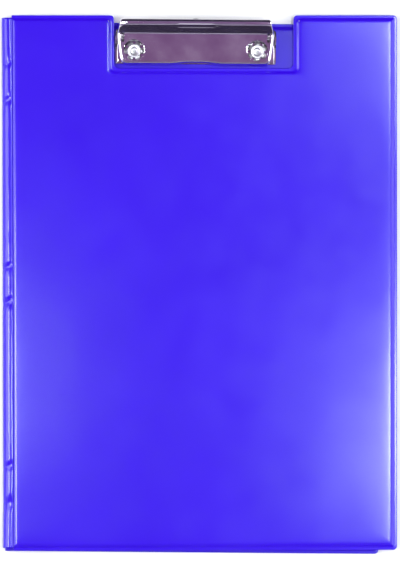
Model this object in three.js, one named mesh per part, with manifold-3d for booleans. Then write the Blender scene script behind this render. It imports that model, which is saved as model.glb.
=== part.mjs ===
// Fold-over clipboard: a vinyl-covered back panel with a lever clip at its top edge, and a vinyl-covered
// front cover that folds round a soft spine at the left, with a notch that leaves the clip clear.
// Millimetres, +Z up. The folder lies shut on its back panel: +X to the right, +Y towards the clip,
// and the origin is at the bottom centre of the shut folder's box.
import * as THREE from "three";
import { mergeVertices } from "three/addons/utils/BufferGeometryUtils.js";
import Module from "manifold-3d";

const wasm = await Module();
wasm.setup();

// ---- Driving dimensions -------------------------------------------------------------------------

const FOIL = 0.35; // one vinyl sheet
const BOARD = 2.0; // greyboard stiffener
const FIT = 0.1; // play between layers that lie on each other
const PANEL = 2 * FOIL + 2 * FIT + BOARD; // one covered panel
const RIM = 3.0; // welded margin round each board
const CORNER = 3.0; // rounding of the panels' corners
const CREASE_GAP = 2.0; // from a hinge line to the panel that folds on it

const BACK_HINGE = -124.0; // x of the back panel's hinge line at mid length
const BACK_RIGHT = 115.0;
const BACK_BOTTOM = -170.2;
const BACK_TOP = 165.8;

// The soft vinyl hinge lets the shut cover sit a little askew on the back panel, so both hinge lines lean
// to the left towards the clip. The cover's sizes are measured square to the cover.
const HINGE_LEAN = THREE.MathUtils.degToRad(0.6);
const COVER_SKEW = THREE.MathUtils.degToRad(0.45);
const COVER_HINGE = -118.8; // x of the cover's hinge line at mid length
const COVER_RIGHT = 125.2;
const COVER_BOTTOM = -168.5;
const COVER_TOP = 170.6;
const NOTCH = { left: -54.1, right: 59.5, floor: 137.0, corner: 4.0 };
const SHUT_GAP = 0.5; // between the back lining and the cover lining, where the pocket lies

const CREASE_HEIGHT = 1.3; // hinge lines lie this far inside each panel's outer face
const SPINE = { length: 336.0, bulge: 1.4, slack: 0.2 };

const POCKET = { left: -106, right: 113, bottom: -158, top: 8, sheet: 0.25, thumb: 14 };

const CLIP_X = -3.6;
const PIVOT_Y = 155.5;
const PIVOT_Z = 7.3;
const STEEL = 0.8; // clip sheet
const RUNNING_GAP = 0.3; // between steel parts that turn on each other

const BASE = { half: 50.4, rearHalf: 46.2, front: -16.9, shoulder: 4.2, rear: 9.6 };
const JAW = { half: 49.3, frontHalf: 47.2, leverHalf: 46.8, front: -15.8, back: 3.3, tip: 12.2, corner: 4.0 };
const LIP_RECESS = { depth: 1.0, outer: 16.1, inner: 5.7 };
const PLATE_REAR_Z = 11.8; // top of the jaw plate where the lever starts
const PLATE_SLOPE = THREE.MathUtils.degToRad(8);
const ROD_RADIUS = 1.5;
const RIVET = { spacing: 78.0, y: -7.7, barrel: 2.3, bore: 1.8, head: 4.7, collar: 4.4 };
const WASHER = { lobes: 6, radius: 5.8, valley: 4.9, thick: 0.45 };
const ACCESS_HOLE = 6.5; // hole in the jaw over each rivet
const SPRING = { x: 18, wire: 0.65, coil: 2.55, pitch: 1.5, turns: 4, arm: 9 };
const EYE = { half: 5.6, tip: 13.2, hole: 3.0, inner: -9.0, stop: 7.3, stopLength: 3.0, sheet: 0.5 };

// ---- Heights of the shut folder -----------------------------------------------------------------

const BASE_Z = PANEL + 0.05; // the clip stands on the back lining
const BASE_TOP = BASE_Z + STEEL;
const COVER_Z = PANEL + SHUT_GAP;
const BACK_HINGE_Z = CREASE_HEIGHT;
const COVER_HINGE_Z = COVER_Z + PANEL - CREASE_HEIGHT;

// ---- Materials ----------------------------------------------------------------------------------

const paint = (color, roughness, metalness = 0) =>
  new THREE.MeshStandardMaterial({ color, roughness, metalness });

const MATERIAL = {
  vinyl: paint(0x4a2ef0, 0.42),
  lining: paint(0x3d28d8, 0.5),
  greyboard: paint(0x9a948a, 0.95),
  chrome: paint(0xc8c4cc, 0.12, 1),
  springSteel: paint(0x8e8e92, 0.3, 1),
};

// ---- Helpers ------------------------------------------------------------------------------------

/** A closed three.js geometry as a manifold solid. */
function solid(geometry) {
  const bare = geometry.clone();
  bare.deleteAttribute("normal");
  bare.deleteAttribute("uv");
  const merged = mergeVertices(bare, 1e-4);
  return new wasm.Manifold(
    new wasm.Mesh({
      numProp: 3,
      vertProperties: merged.attributes.position.array,
      triVerts: new Uint32Array(merged.index.array),
    }),
  );
}

/** A manifold solid as a three.js geometry. */
function geometryOf(body) {
  const mesh = body.getMesh();
  const geometry = new THREE.BufferGeometry();
  geometry.setAttribute("position", new THREE.BufferAttribute(new Float32Array(mesh.vertProperties), 3));
  geometry.setIndex(new THREE.BufferAttribute(new Uint32Array(mesh.triVerts), 1));
  geometry.computeVertexNormals();
  return geometry;
}

/** A prism on the XY plane, from height low to height high. */
function slab(shape, low, high, curveSegments = 6) {
  const options = { depth: high - low, bevelEnabled: false, curveSegments };
  return solid(new THREE.ExtrudeGeometry(shape, options).translate(0, 0, low));
}

/** A prism whose outline is drawn in Y and Z, from x = left to x = right. */
function sideSlab(shape, left, right, curveSegments = 6) {
  const options = { depth: right - left, bevelEnabled: false, curveSegments };
  const drawnInYZ = new THREE.Matrix4().makeBasis(
    new THREE.Vector3(0, 1, 0),
    new THREE.Vector3(0, 0, 1),
    new THREE.Vector3(1, 0, 0),
  );
  return solid(new THREE.ExtrudeGeometry(shape, options).applyMatrix4(drawnInYZ).translate(left, 0, 0));
}

/** A round bar along Z. */
function postZ(x, y, low, high, radius, sides = 32) {
  const bar = new THREE.CylinderGeometry(radius, radius, high - low, sides);
  return solid(bar.rotateX(Math.PI / 2).translate(x, y, (low + high) / 2));
}

/** A round bar along X. */
function barX(left, right, y, z, radius, sides = 24) {
  const bar = new THREE.CylinderGeometry(radius, radius, right - left, sides);
  return solid(bar.rotateZ(Math.PI / 2).translate((left + right) / 2, y, z));
}

function box(x0, x1, y0, y1, z0, z1) {
  const block = new THREE.BoxGeometry(x1 - x0, y1 - y0, z1 - z0);
  return solid(block.translate((x0 + x1) / 2, (y0 + y1) / 2, (z0 + z1) / 2));
}

/** A corner of the cover, turned from the cover's own square to the back panel's. */
function askew([x, y, ...rest]) {
  const turned = new THREE.Vector2(x, y).rotateAround(new THREE.Vector2(0, 0), COVER_SKEW);
  return [turned.x, turned.y, ...rest];
}

/** A closed outline through [x, y, radius] corners, each rounded to its radius. */
function outline(corners) {
  const shape = new THREE.Shape();
  const count = corners.length;
  corners.forEach(([x, y, radius = 0], i) => {
    const here = new THREE.Vector2(x, y);
    const towards = (j) => new THREE.Vector2(...corners[(j + count) % count].slice(0, 2)).sub(here).normalize();
    const enter = here.clone().addScaledVector(towards(i - 1), radius);
    const leave = here.clone().addScaledVector(towards(i + 1), radius);
    if (i === 0) shape.moveTo(enter.x, enter.y);
    else shape.lineTo(enter.x, enter.y);
    if (radius > 0) shape.quadraticCurveTo(x, y, leave.x, leave.y);
  });
  shape.closePath();
  return shape;
}

function mesh(name, geometry, material) {
  const made = new THREE.Mesh(geometry, material);
  made.name = name;
  return made;
}

// ---- Covered panels -----------------------------------------------------------------------------

/** The back panel's outline, drawn in from its edge by inset. */
function backOutline(inset) {
  const leftAt = (y) => BACK_HINGE + CREASE_GAP + inset - Math.tan(HINGE_LEAN) * y;
  const right = BACK_RIGHT - inset;
  const low = BACK_BOTTOM + inset;
  const high = BACK_TOP - inset;
  const round = Math.max(CORNER - inset, 0.5);
  return outline([
    [leftAt(low), low, 0.5],
    [right, low, round],
    [right, high, round],
    [leftAt(high), high, 0.5],
  ]);
}

/** The cover's outline with its notch, drawn in by inset. */
function coverOutline(inset) {
  const lean = Math.tan(HINGE_LEAN - COVER_SKEW);
  const leftAt = (y) => COVER_HINGE + CREASE_GAP + inset - lean * y;
  const bottomAt = (x) => COVER_BOTTOM + inset + lean * x;
  const right = COVER_RIGHT - inset;
  const top = COVER_TOP - inset;
  const round = Math.max(CORNER - inset, 0.5);
  const floor = NOTCH.floor - inset;
  const corners = [
    [leftAt(COVER_BOTTOM), bottomAt(COVER_HINGE), 0.5],
    [right, bottomAt(right), round],
    [right, top, round],
    [NOTCH.right + inset, top, round],
    [NOTCH.right + inset, floor, NOTCH.corner],
    [NOTCH.left - inset, floor, NOTCH.corner],
    [NOTCH.left - inset, top, round],
    [leftAt(COVER_TOP), top, 0.5],
  ];
  return outline(corners.map(askew));
}

/** The three layers of a panel: a sheet below, a board, and a sheet above. Each sheet has a deep rim. */
function panelLayers(draw, bottom) {
  const middle = bottom + PANEL / 2;
  const top = bottom + PANEL;
  const pocket = draw(RIM);
  const lower = slab(draw(0), bottom, middle - FIT / 2).subtract(slab(pocket, bottom + FOIL, middle + 1));
  const upper = slab(draw(0), middle + FIT / 2, top).subtract(slab(pocket, middle - 1, top - FOIL));
  const board = slab(draw(RIM + 0.3), bottom + FOIL + FIT, top - FOIL - FIT);
  return { lower, board, upper };
}

function rivetPlaces() {
  return [-1, 1].map((side) => [CLIP_X + (side * RIVET.spacing) / 2, PIVOT_Y + RIVET.y]);
}

function backPanel() {
  const { lower, board, upper } = panelLayers(backOutline, 0);
  let skin = lower;
  let stiffener = board;
  let lining = upper;
  for (const [x, y] of rivetPlaces()) {
    const headSeat = postZ(x, y, -1, FOIL + FIT + 0.35, RIVET.head + RUNNING_GAP);
    const barrelHole = postZ(x, y, -1, PANEL + 1, RIVET.barrel + RUNNING_GAP);
    skin = skin.subtract(headSeat);
    stiffener = stiffener.subtract(headSeat).subtract(barrelHole);
    lining = lining.subtract(barrelHole);
  }
  return [
    mesh("back_outer_skin", geometryOf(skin), MATERIAL.vinyl),
    mesh("back_board", geometryOf(stiffener), MATERIAL.greyboard),
    mesh("back_lining", geometryOf(lining), MATERIAL.lining),
  ];
}

/** A sheet welded inside the cover on three sides, open towards the clip, with a thumb cut. */
function coverPocket() {
  const { left, right, bottom, top, sheet, thumb } = POCKET;
  const middle = (left + right) / 2;
  const corners = [
    [left, bottom, 2],
    [right, bottom, 2],
    [right, top, 2],
    [middle + 2 * thumb, top, thumb / 2],
    [middle + thumb, top - thumb, thumb / 2],
    [middle - thumb, top - thumb, thumb / 2],
    [middle - 2 * thumb, top, thumb / 2],
    [left, top, 2],
  ];
  const high = COVER_Z - FIT;
  const sheetSolid = slab(outline(corners.map(askew)), high - sheet, high);
  return mesh("cover_pocket", geometryOf(sheetSolid), MATERIAL.lining);
}

function cover() {
  const { lower, board, upper } = panelLayers(coverOutline, COVER_Z);
  return [
    mesh("cover_lining", geometryOf(lower), MATERIAL.lining),
    mesh("cover_board", geometryOf(board), MATERIAL.greyboard),
    mesh("cover_outer_skin", geometryOf(upper), MATERIAL.vinyl),
    coverPocket(),
  ];
}

// ---- Spine --------------------------------------------------------------------------------------

/** The spine's section at y: a shallow arc from the back's hinge line to the cover's. */
function spineArc(y) {
  const from = new THREE.Vector2(BACK_HINGE - Math.tan(HINGE_LEAN) * y, BACK_HINGE_Z);
  const to = new THREE.Vector2(COVER_HINGE - Math.tan(HINGE_LEAN) * y, COVER_HINGE_Z);
  const chord = from.distanceTo(to);
  const radius = chord ** 2 / (8 * SPINE.bulge) + SPINE.bulge / 2;
  const halfAngle = 2 * Math.atan((2 * SPINE.bulge) / chord);
  const along = to.clone().sub(from).normalize();
  const outward = new THREE.Vector2(-along.y, along.x);
  const centre = from.clone().lerp(to, 0.5).addScaledVector(outward, SPINE.bulge - radius);
  return { centre, radius, halfAngle, along, outward };
}

/** One sheet of the spine, between radial distances near and far from the arc of the section. */
function spineSheet(name, near, far, material) {
  const sheet = new THREE.BoxGeometry(1, SPINE.length, 1, 10, 8, 1);
  const place = sheet.attributes.position;
  for (let i = 0; i < place.count; i++) {
    const { centre, radius, halfAngle, along, outward } = spineArc(place.getY(i));
    const angle = 2 * place.getX(i) * (halfAngle - SPINE.slack / radius);
    const reach = radius + THREE.MathUtils.lerp(near, far, place.getZ(i) + 0.5);
    const point = centre
      .clone()
      .addScaledVector(along, reach * Math.sin(angle))
      .addScaledVector(outward, reach * Math.cos(angle));
    place.setX(i, point.x);
    place.setZ(i, point.y);
  }
  return mesh(name, geometryOf(solid(sheet)), material);
}

function spine() {
  return [
    spineSheet("spine_skin", FIT / 2, FOIL, MATERIAL.vinyl),
    spineSheet("spine_lining", -FOIL, -FIT / 2, MATERIAL.lining),
  ];
}

// ---- Clip: all drawn about the pivot, with x = 0 at the clip's middle ----------------------------

/** A closed band inside an outline, as wide as the clip sheet. */
function wall(draw, low, high) {
  return slab(draw(0), low, high).subtract(slab(draw(STEEL), low - 1, high + 1));
}

function baseOutline(inset) {
  const half = BASE.half - inset;
  const rearHalf = BASE.rearHalf - inset;
  const front = BASE.front + inset;
  const rear = BASE.rear - inset;
  return outline([
    [-half, front, 0.5],
    [half, front, 0.5],
    [half, BASE.shoulder, 0.5],
    [rearHalf, rear, 0.5],
    [-rearHalf, rear, 0.5],
    [-half, BASE.shoulder, 0.5],
  ]);
}

/** Side view of the base's ears: low at the front, high round the rod, lower again at the rear. */
function earSideView() {
  const front = BASE.front + STEEL + 0.05;
  const rear = BASE.rear - STEEL - 0.05;
  return outline([
    [front, BASE_TOP - 0.2],
    [rear, BASE_TOP - 0.2],
    [rear - 0.4, BASE_TOP + 2.6, 0.8],
    [2.6, PIVOT_Z + 3.0, 1.6],
    [-3.0, PIVOT_Z + 3.0, 1.6],
    [-6.0, BASE_TOP + 2.4, 1.0],
    [front + 0.2, BASE_TOP + 1.8, 0.8],
  ]);
}

/** Base plate: riveted to the back panel, with an ear at each end and a guide for the hanging eye. */
function clipBase() {
  const floor = slab(baseOutline(0), BASE_Z, BASE_TOP);
  const ears = wall(baseOutline, BASE_Z, PIVOT_Z + 6).intersect(sideSlab(earSideView(), -60, 60));
  const neck = EYE.half + RUNNING_GAP;
  const wide = EYE.stop + RUNNING_GAP;
  const guideFront = EYE.inner - 0.4;
  const guideNeck = 4.3;
  const strap = (front, rear) => box(-wide - 2, wide + 2, front, rear, BASE_TOP - 0.05, BASE_TOP + 0.75);
  let base = floor
    .add(ears)
    .subtract(box(-neck, neck, guideNeck - 1, BASE.rear + 2, BASE_Z - 1, BASE_TOP + 1))
    .subtract(box(-wide, wide, guideFront, guideNeck, BASE_Z - 1, BASE_TOP + 1))
    .add(strap(-3.4, -0.8))
    .add(strap(5.4, 8.6))
    .subtract(barX(-60, 60, 0, PIVOT_Z, ROD_RADIUS + RUNNING_GAP));
  for (const side of [-1, 1]) {
    const hole = postZ((side * RIVET.spacing) / 2, RIVET.y, BASE_Z - 1, BASE_TOP + 1, RIVET.barrel + RUNNING_GAP);
    base = base.subtract(hole);
  }
  return mesh("clip_base", geometryOf(base), MATERIAL.chrome);
}

/** The jaw from above, lever included, drawn in by inset. */
function jawOutline(inset) {
  const { half, frontHalf, leverHalf, front, back, tip, corner } = JAW;
  const { depth, outer, inner } = LIP_RECESS;
  const low = front + inset;
  return outline([
    [-frontHalf + inset, low, corner],
    [-outer, low, 1.5],
    [-inner, low + depth, 1.5],
    [inner, low + depth, 1.5],
    [outer, low, 1.5],
    [frontHalf - inset, low, corner],
    [half - inset, -2, 2],
    [half - inset, back, 2],
    [leverHalf - inset, tip + 1, 0.5],
    [-leverHalf + inset, tip + 1, 0.5],
    [-half + inset, back, 2],
    [-half + inset, -2, 2],
  ]);
}

/** Height of the top of the jaw plate at y. */
function plateTop(y) {
  return PLATE_REAR_Z + (y - 2.2) * Math.tan(PLATE_SLOPE);
}

/** A bent sheet seen from the side: the points of its upper face, then the same points one sheet lower. */
function bentSheet(upper) {
  const points = upper.map(([y, z]) => new THREE.Vector2(y, z));
  const lower = points.map((point, i) => {
    const before = points[Math.max(i - 1, 0)];
    const after = points[Math.min(i + 1, points.length - 1)];
    const into = new THREE.Vector2().subVectors(point, before).normalize();
    const out = new THREE.Vector2().subVectors(after, point).normalize();
    const along = into.add(out).normalize();
    return point.clone().add(new THREE.Vector2(along.y, -along.x).multiplyScalar(STEEL));
  });
  return new THREE.Shape([...points, ...lower.reverse()]);
}

/** Jaw plate and thumb lever in one bent sheet, with a gripping lip in front and a flange at each end. */
function clipJaw() {
  const plan = slab(jawOutline(0), 0, 30);
  const sheet = bentSheet([
    [JAW.front - 1, plateTop(JAW.front - 1)],
    [2.0, plateTop(2.0)],
    [2.9, plateTop(2.9) + 0.2],
    [3.7, plateTop(3.7) + 1.0],
    [7.4, 17.2],
    [8.3, 18.2],
    [9.7, 18.7],
    [11.2, 18.5],
    [12.0, 17.9],
    [JAW.tip, 17.2],
  ]);
  const plateAndLever = sideSlab(sheet, -60, 60).intersect(plan);

  const lipFoot = BASE_TOP + 0.35;
  const flangeSideView = outline([
    [JAW.front - 1, lipFoot],
    [JAW.front + 2.4, lipFoot, 0.6],
    [JAW.front + 3.4, PIVOT_Z - 1.6, 0.6],
    [-2.9, PIVOT_Z - 2.7, 1.5],
    [2.3, PIVOT_Z - 2.7, 2.0],
    [JAW.back + 0.2, plateTop(JAW.back) - 0.3],
    [JAW.front - 1, plateTop(JAW.front - 1) - 0.3],
  ]);
  const backLimit = box(-60, 60, JAW.front - 2, JAW.back - STEEL - 0.05, 0, 30);
  const skirt = wall(jawOutline, 0, 30).intersect(sideSlab(flangeSideView, -60, 60)).intersect(backLimit);

  let jaw = plateAndLever.add(skirt).subtract(barX(-60, 60, 0, PIVOT_Z, ROD_RADIUS + RUNNING_GAP));
  for (const side of [-1, 1]) {
    jaw = jaw.subtract(postZ((side * RIVET.spacing) / 2, RIVET.y, 6, 20, ACCESS_HOLE, 40));
  }
  return mesh("clip_jaw", geometryOf(jaw), MATERIAL.chrome);
}

/** Rod through the ears and flanges, with a flattened head outside each ear. */
function hingeRod() {
  const headInner = BASE.half + 0.15;
  const headOuter = headInner + 0.6;
  const neck = headInner - 0.05;
  const profile = [
    [0, -headOuter],
    [1.6, -headOuter],
    [2.2, -headInner - 0.1],
    [2.2, -headInner],
    [ROD_RADIUS, -neck],
    [ROD_RADIUS, neck],
    [2.2, headInner],
    [2.2, headInner + 0.1],
    [1.6, headOuter],
    [0, headOuter],
  ].map(([r, a]) => new THREE.Vector2(r, a));
  const rod = mesh("hinge_rod", new THREE.LatheGeometry(profile, 24), MATERIAL.springSteel);
  rod.rotation.z = -Math.PI / 2;
  rod.position.z = PIVOT_Z;
  return rod;
}

/** Hollow rivet: a flat head under the back skin, a barrel, and a collar rolled over the base plate. */
function rivet(name, side) {
  const { bore, barrel, head, collar, spacing, y } = RIVET;
  const seat = BASE_TOP + 0.05 + WASHER.thick + 0.05;
  const profile = [
    [bore, 0.05],
    [head - 0.3, 0.05],
    [head, 0.3],
    [head - 0.1, 0.65],
    [barrel, 0.65],
    [barrel, seat],
    [collar - 0.2, seat],
    [collar, seat + 0.3],
    [collar - 0.7, seat + 0.85],
    [barrel + 0.6, seat + 1.05],
    [bore + 0.1, seat + 0.7],
    [bore, seat + 0.2],
    [bore, 0.05],
  ].map(([r, z]) => new THREE.Vector2(r, z));
  const turned = new THREE.LatheGeometry(profile, 32).rotateX(Math.PI / 2);
  const made = mesh(name, turned, MATERIAL.chrome);
  made.position.set((side * spacing) / 2, y, 0);
  return made;
}

/** Lobed washer between the rivet's collar and the base plate. */
function rivetWasher(name, side) {
  const { lobes, radius, valley, thick } = WASHER;
  const steps = 12 * lobes;
  const points = Array.from({ length: steps }, (_, i) => {
    const angle = (2 * Math.PI * i) / steps;
    const reach = THREE.MathUtils.lerp(valley, radius, 0.5 + 0.5 * Math.cos(lobes * angle));
    return new THREE.Vector2(reach * Math.cos(angle), reach * Math.sin(angle));
  });
  const shape = new THREE.Shape(points);
  shape.holes.push(new THREE.Path().absarc(0, 0, RIVET.barrel + RUNNING_GAP, 0, 2 * Math.PI, true));
  const made = mesh(name, geometryOf(slab(shape, 0, thick, 12)), MATERIAL.chrome);
  made.position.set((side * RIVET.spacing) / 2, RIVET.y, BASE_TOP + 0.05);
  return made;
}

/** Torsion spring on the rod: one arm back along the base plate, one arm up behind the lever. */
function torsionSpring(name, x, hand) {
  const { wire, coil, pitch, turns, arm } = SPRING;
  const sweep = 2 * Math.PI * (turns + 0.5);
  const steps = Math.round(16 * turns);
  const points = [new THREE.Vector3(0, arm, -coil), new THREE.Vector3(0, arm / 2, -coil)];
  for (let i = 0; i <= steps; i++) {
    const turned = (sweep * i) / steps;
    const angle = -Math.PI / 2 - turned;
    const travelled = (pitch * turned) / (2 * Math.PI);
    points.push(new THREE.Vector3(hand * travelled, coil * Math.cos(angle), coil * Math.sin(angle)));
  }
  const last = points[points.length - 1];
  points.push(new THREE.Vector3(last.x, 1.6, coil), new THREE.Vector3(last.x, 3.1, coil + 0.3));
  const path = new THREE.CatmullRomCurve3(points);
  const section = new THREE.Shape().absarc(0, 0, wire, 0, 2 * Math.PI, false);
  const options = { steps: 3 * steps, extrudePath: path, curveSegments: 4, bevelEnabled: false };
  const spring = mesh(name, new THREE.ExtrudeGeometry(section, options), MATERIAL.springSteel);
  spring.position.set(x, 0, PIVOT_Z);
  return spring;
}

/** Flat steel eye that pulls out from under the base plate, so that the board can hang on a hook. */
function hangingEye() {
  const { half, tip, hole, inner, stop, stopLength, sheet } = EYE;
  const centre = tip - half;
  const shape = new THREE.Shape();
  shape.moveTo(-stop, inner);
  shape.lineTo(stop, inner);
  shape.lineTo(stop, inner + stopLength);
  shape.lineTo(half, inner + stopLength);
  shape.lineTo(half, centre);
  shape.absarc(0, centre, half, 0, Math.PI, false);
  shape.lineTo(-half, inner + stopLength);
  shape.lineTo(-stop, inner + stopLength);
  shape.closePath();
  shape.holes.push(new THREE.Path().absarc(0, centre, hole, 0, 2 * Math.PI, true));
  const low = BASE_Z + 0.03;
  return mesh("hanging_eye", geometryOf(slab(shape, low, low + sheet, 16)), MATERIAL.chrome);
}

function clip() {
  const group = new THREE.Group();
  group.position.set(CLIP_X, PIVOT_Y, 0);
  group.add(
    clipBase(),
    clipJaw(),
    hingeRod(),
    rivet("rivet_left", -1),
    rivet("rivet_right", 1),
    rivetWasher("rivet_washer_left", -1),
    rivetWasher("rivet_washer_right", 1),
    torsionSpring("torsion_spring_left", -SPRING.x, -1),
    torsionSpring("torsion_spring_right", SPRING.x, 1),
    hangingEye(),
  );
  return group;
}

const clipboard = new THREE.Group();
clipboard.name = "fold_over_clipboard";
clipboard.add(...backPanel(), ...cover(), ...spine(), clip());

// The origin goes to the bottom centre of the shut folder's box.
const extent = new THREE.Box3().setFromObject(clipboard);
const centre = extent.getCenter(new THREE.Vector3());
for (const piece of clipboard.children) {
  piece.position.sub(new THREE.Vector3(centre.x, centre.y, extent.min.z));
}

export default clipboard;
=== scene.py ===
# %% [markdown]
# # A fold-over clipboard
#
# The board is two stiff panels in one blue vinyl jacket. The back panel carries a chrome lever clip, and
# the front cover folds round a soft spine on the left. This lesson dresses the CAD frame: each sheet of
# vinyl, each pressing and each turned part gets its own surface, and every one rides on the body that the
# CAD model moves it with.

# %% Open the frame
import math

import bmesh
import bpy
from mathutils import Matrix, Vector, noise
from mathutils.geometry import delaunay_2d_cdt
from mathutils.kdtree import KDTree


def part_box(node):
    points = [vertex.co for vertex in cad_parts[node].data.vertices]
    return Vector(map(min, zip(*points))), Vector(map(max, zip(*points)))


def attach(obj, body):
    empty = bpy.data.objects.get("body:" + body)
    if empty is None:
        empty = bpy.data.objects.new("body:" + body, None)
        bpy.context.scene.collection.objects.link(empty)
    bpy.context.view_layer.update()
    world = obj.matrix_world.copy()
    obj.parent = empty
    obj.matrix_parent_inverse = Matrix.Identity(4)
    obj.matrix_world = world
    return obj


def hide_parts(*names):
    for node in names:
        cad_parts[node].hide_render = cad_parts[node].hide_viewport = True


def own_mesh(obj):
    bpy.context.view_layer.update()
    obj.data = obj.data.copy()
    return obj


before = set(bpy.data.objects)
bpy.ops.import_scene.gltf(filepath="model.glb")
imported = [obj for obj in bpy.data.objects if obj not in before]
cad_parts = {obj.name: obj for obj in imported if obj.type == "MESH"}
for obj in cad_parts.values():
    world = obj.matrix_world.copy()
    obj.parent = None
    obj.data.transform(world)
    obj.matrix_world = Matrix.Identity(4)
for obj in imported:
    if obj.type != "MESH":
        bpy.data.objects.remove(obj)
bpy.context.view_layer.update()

MM = 0.001

# %% [markdown]
# ## Where things are
#
# The CAD part was drawn about its own datum and then moved so that the origin is under the middle of its
# box. The back board's right and top edges say how far it moved. Sizes below are in millimetres, because
# that is how a board maker states them, and they become metres when a mesh is made.

# %% Datum, hinge lines and panel sizes
RIM = 3.0  # welded margin round a board
BOARD_ROOM = 0.3  # from the weld to the board inside it
BACK_RIGHT, BACK_TOP, BACK_BOTTOM = 115.0, 165.8, -170.2  # the back panel's edges in the drawing
SHIFT_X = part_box("back_board")[1][0] / MM - (BACK_RIGHT - RIM - BOARD_ROOM)
SHIFT_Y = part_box("back_board")[1][1] / MM - (BACK_TOP - RIM - BOARD_ROOM)
PANEL = 2.9  # thickness of one covered panel
BACK_MID = PANEL / 2
COVER_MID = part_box("cover_lining")[0][2] / MM + PANEL / 2
SKEW = math.radians(0.45)  # the shut cover sits a little askew on the back
LEAN = math.radians(0.6)  # both hinge lines lean a little to the left
BACK_HINGE = (-124.0, 1.3)  # x at mid length, and z
COVER_HINGE = (-118.8, 5.0)


def moved(x, y):
    """A point of the drawing in the frame's own place, in millimetres."""
    return x + SHIFT_X, y + SHIFT_Y


def askew(x, y):
    """A point drawn square to the cover, turned to where the cover lies."""
    c, s = math.cos(SKEW), math.sin(SKEW)
    return moved(x * c - y * s, x * s + y * c)


def hinge_x(hinge, y):
    """x of a hinge line at y, both in the frame's place."""
    return hinge[0] + SHIFT_X - math.tan(LEAN) * (y - SHIFT_Y)


print("datum moved by", round(SHIFT_X, 3), round(SHIFT_Y, 3), "mm")

# %% [markdown]
# ## Camera
#
# The board is looked at from straight above. A long lens from well above keeps the edges parallel, as on
# a plan drawing, and hides how high the clip stands. The camera is turned by the cover's skew, so that the
# cover stands upright in the view.

# %% Camera
FIELD = 360.9  # millimetres of the cover's face that the view's height takes in
CAMERA_HEIGHT = 1400.0
COVER_FACE = 6.3  # height of the cover's face above the table
AIM = (0.11, -0.99)  # the point under the middle of the view
SENSOR = 36.0

camera_data = bpy.data.cameras.new("camera")
camera_data.sensor_fit = "AUTO"
camera_data.sensor_width = SENSOR
camera_data.lens = SENSOR * (CAMERA_HEIGHT - COVER_FACE) / FIELD
camera_data.clip_end = 20.0
camera = bpy.data.objects.new("camera", camera_data)
bpy.context.scene.collection.objects.link(camera)
camera.location = (AIM[0] * MM, AIM[1] * MM, CAMERA_HEIGHT * MM)
camera.rotation_euler = (0, 0, SKEW)
bpy.context.scene.camera = camera
print("lens", round(camera_data.lens, 1), "mm")

# %% [markdown]
# ## Light and floor
#
# Vinyl and chrome show what is round them more than they show lamps. The world is a white tent that dims
# straight overhead, where the camera looks in, so the clip's flat plate comes out a dusky mauve. Two dark
# flags lean in from the front and the rear: they draw the dark bands in the lever's bends, while both
# sides stay bright. The front flag has a pale strip across it, which lights the bend at the lip. The camera
# doesn't see the flags. Small soft boxes lay a pale sheen on the cover. One lamp shines only in glints: it
# draws the two bright lines along the spine and leaves the vinyl's own colour alone.


# %% World
def set_stops(color_ramp, tones):
    """Give a colour ramp these (place, colour) stops."""
    stops = color_ramp.elements
    while len(stops) < len(tones):
        stops.new(0.5)
    for stop, (place, colour) in zip(stops, tones):
        stop.position = place
        stop.color = (*colour, 1)


TENT = (  # the height of the direction, 0 at the horizon and 1 overhead, and its colour
    (0.00, (0.95, 0.95, 0.97)),
    (0.55, (1.00, 1.00, 1.00)),
    (0.80, (0.55, 0.50, 0.58)),
    (0.93, (0.215, 0.102, 0.25)),
    (1.00, (0.22, 0.105, 0.26)),
)
world = bpy.data.worlds.new("tent")
bpy.context.scene.world = world
world.use_nodes = True
world_nodes = world.node_tree.nodes
world_links = world.node_tree.links
direction = world_nodes.new("ShaderNodeTexCoord")
split = world_nodes.new("ShaderNodeSeparateXYZ")
ramp = world_nodes.new("ShaderNodeValToRGB")
world_links.new(direction.outputs["Generated"], split.inputs[0])
world_links.new(split.outputs["Z"], ramp.inputs["Fac"])
world_links.new(ramp.outputs["Color"], world_nodes["Background"].inputs["Color"])
set_stops(ramp.color_ramp, TENT)
bpy.context.scene.view_settings.view_transform = "Standard"
print("tent with", len(ramp.color_ramp.elements), "stops")


# %% Soft boxes
SHEEN_COLOUR = (0.88, 1.0, 0.94)
SPINE_COLOUR = (0.86, 0.90, 1.0)


def soft_box(name, place, size, power, colour=(1, 1, 1), glint_only=False):
    """A rectangular lamp turned to the board, in metres and watts. glint_only keeps it off matt colour."""
    data = bpy.data.lights.new(name, "AREA")
    data.shape = "RECTANGLE"
    data.size, data.size_y = size
    data.energy = power
    data.color = colour
    lamp = bpy.data.objects.new(name, data)
    bpy.context.scene.collection.objects.link(lamp)
    lamp.location = place
    lamp.visible_diffuse = not glint_only
    lamp.rotation_euler = (-Vector(place)).to_track_quat("-Z", "Y").to_euler()
    print(name, "radiance", round(power / (math.pi * size[0] * size[1]), 1))


soft_box("sheen_low_right", (0.40, -0.18, 1.5), (0.20, 0.08), 6.5, SHEEN_COLOUR)
soft_box("sheen_top_right", (0.40, 0.37, 1.5), (0.20, 0.08), 5.2, SHEEN_COLOUR)
soft_box("sheen_left", (-0.36, -0.13, 1.5), (0.20, 0.24), 1.3, SHEEN_COLOUR)
soft_box("spine_light", (-0.75, -0.17, 1.4), (0.45, 0.16), 11.0, SPINE_COLOUR, glint_only=True)
soft_box("fill_left", (-1.6, 0.1, 1.2), (1.4, 1.4), 26.0)
soft_box("fill_right", (1.6, 0.1, 1.2), (1.4, 1.4), 16.0)

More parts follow.
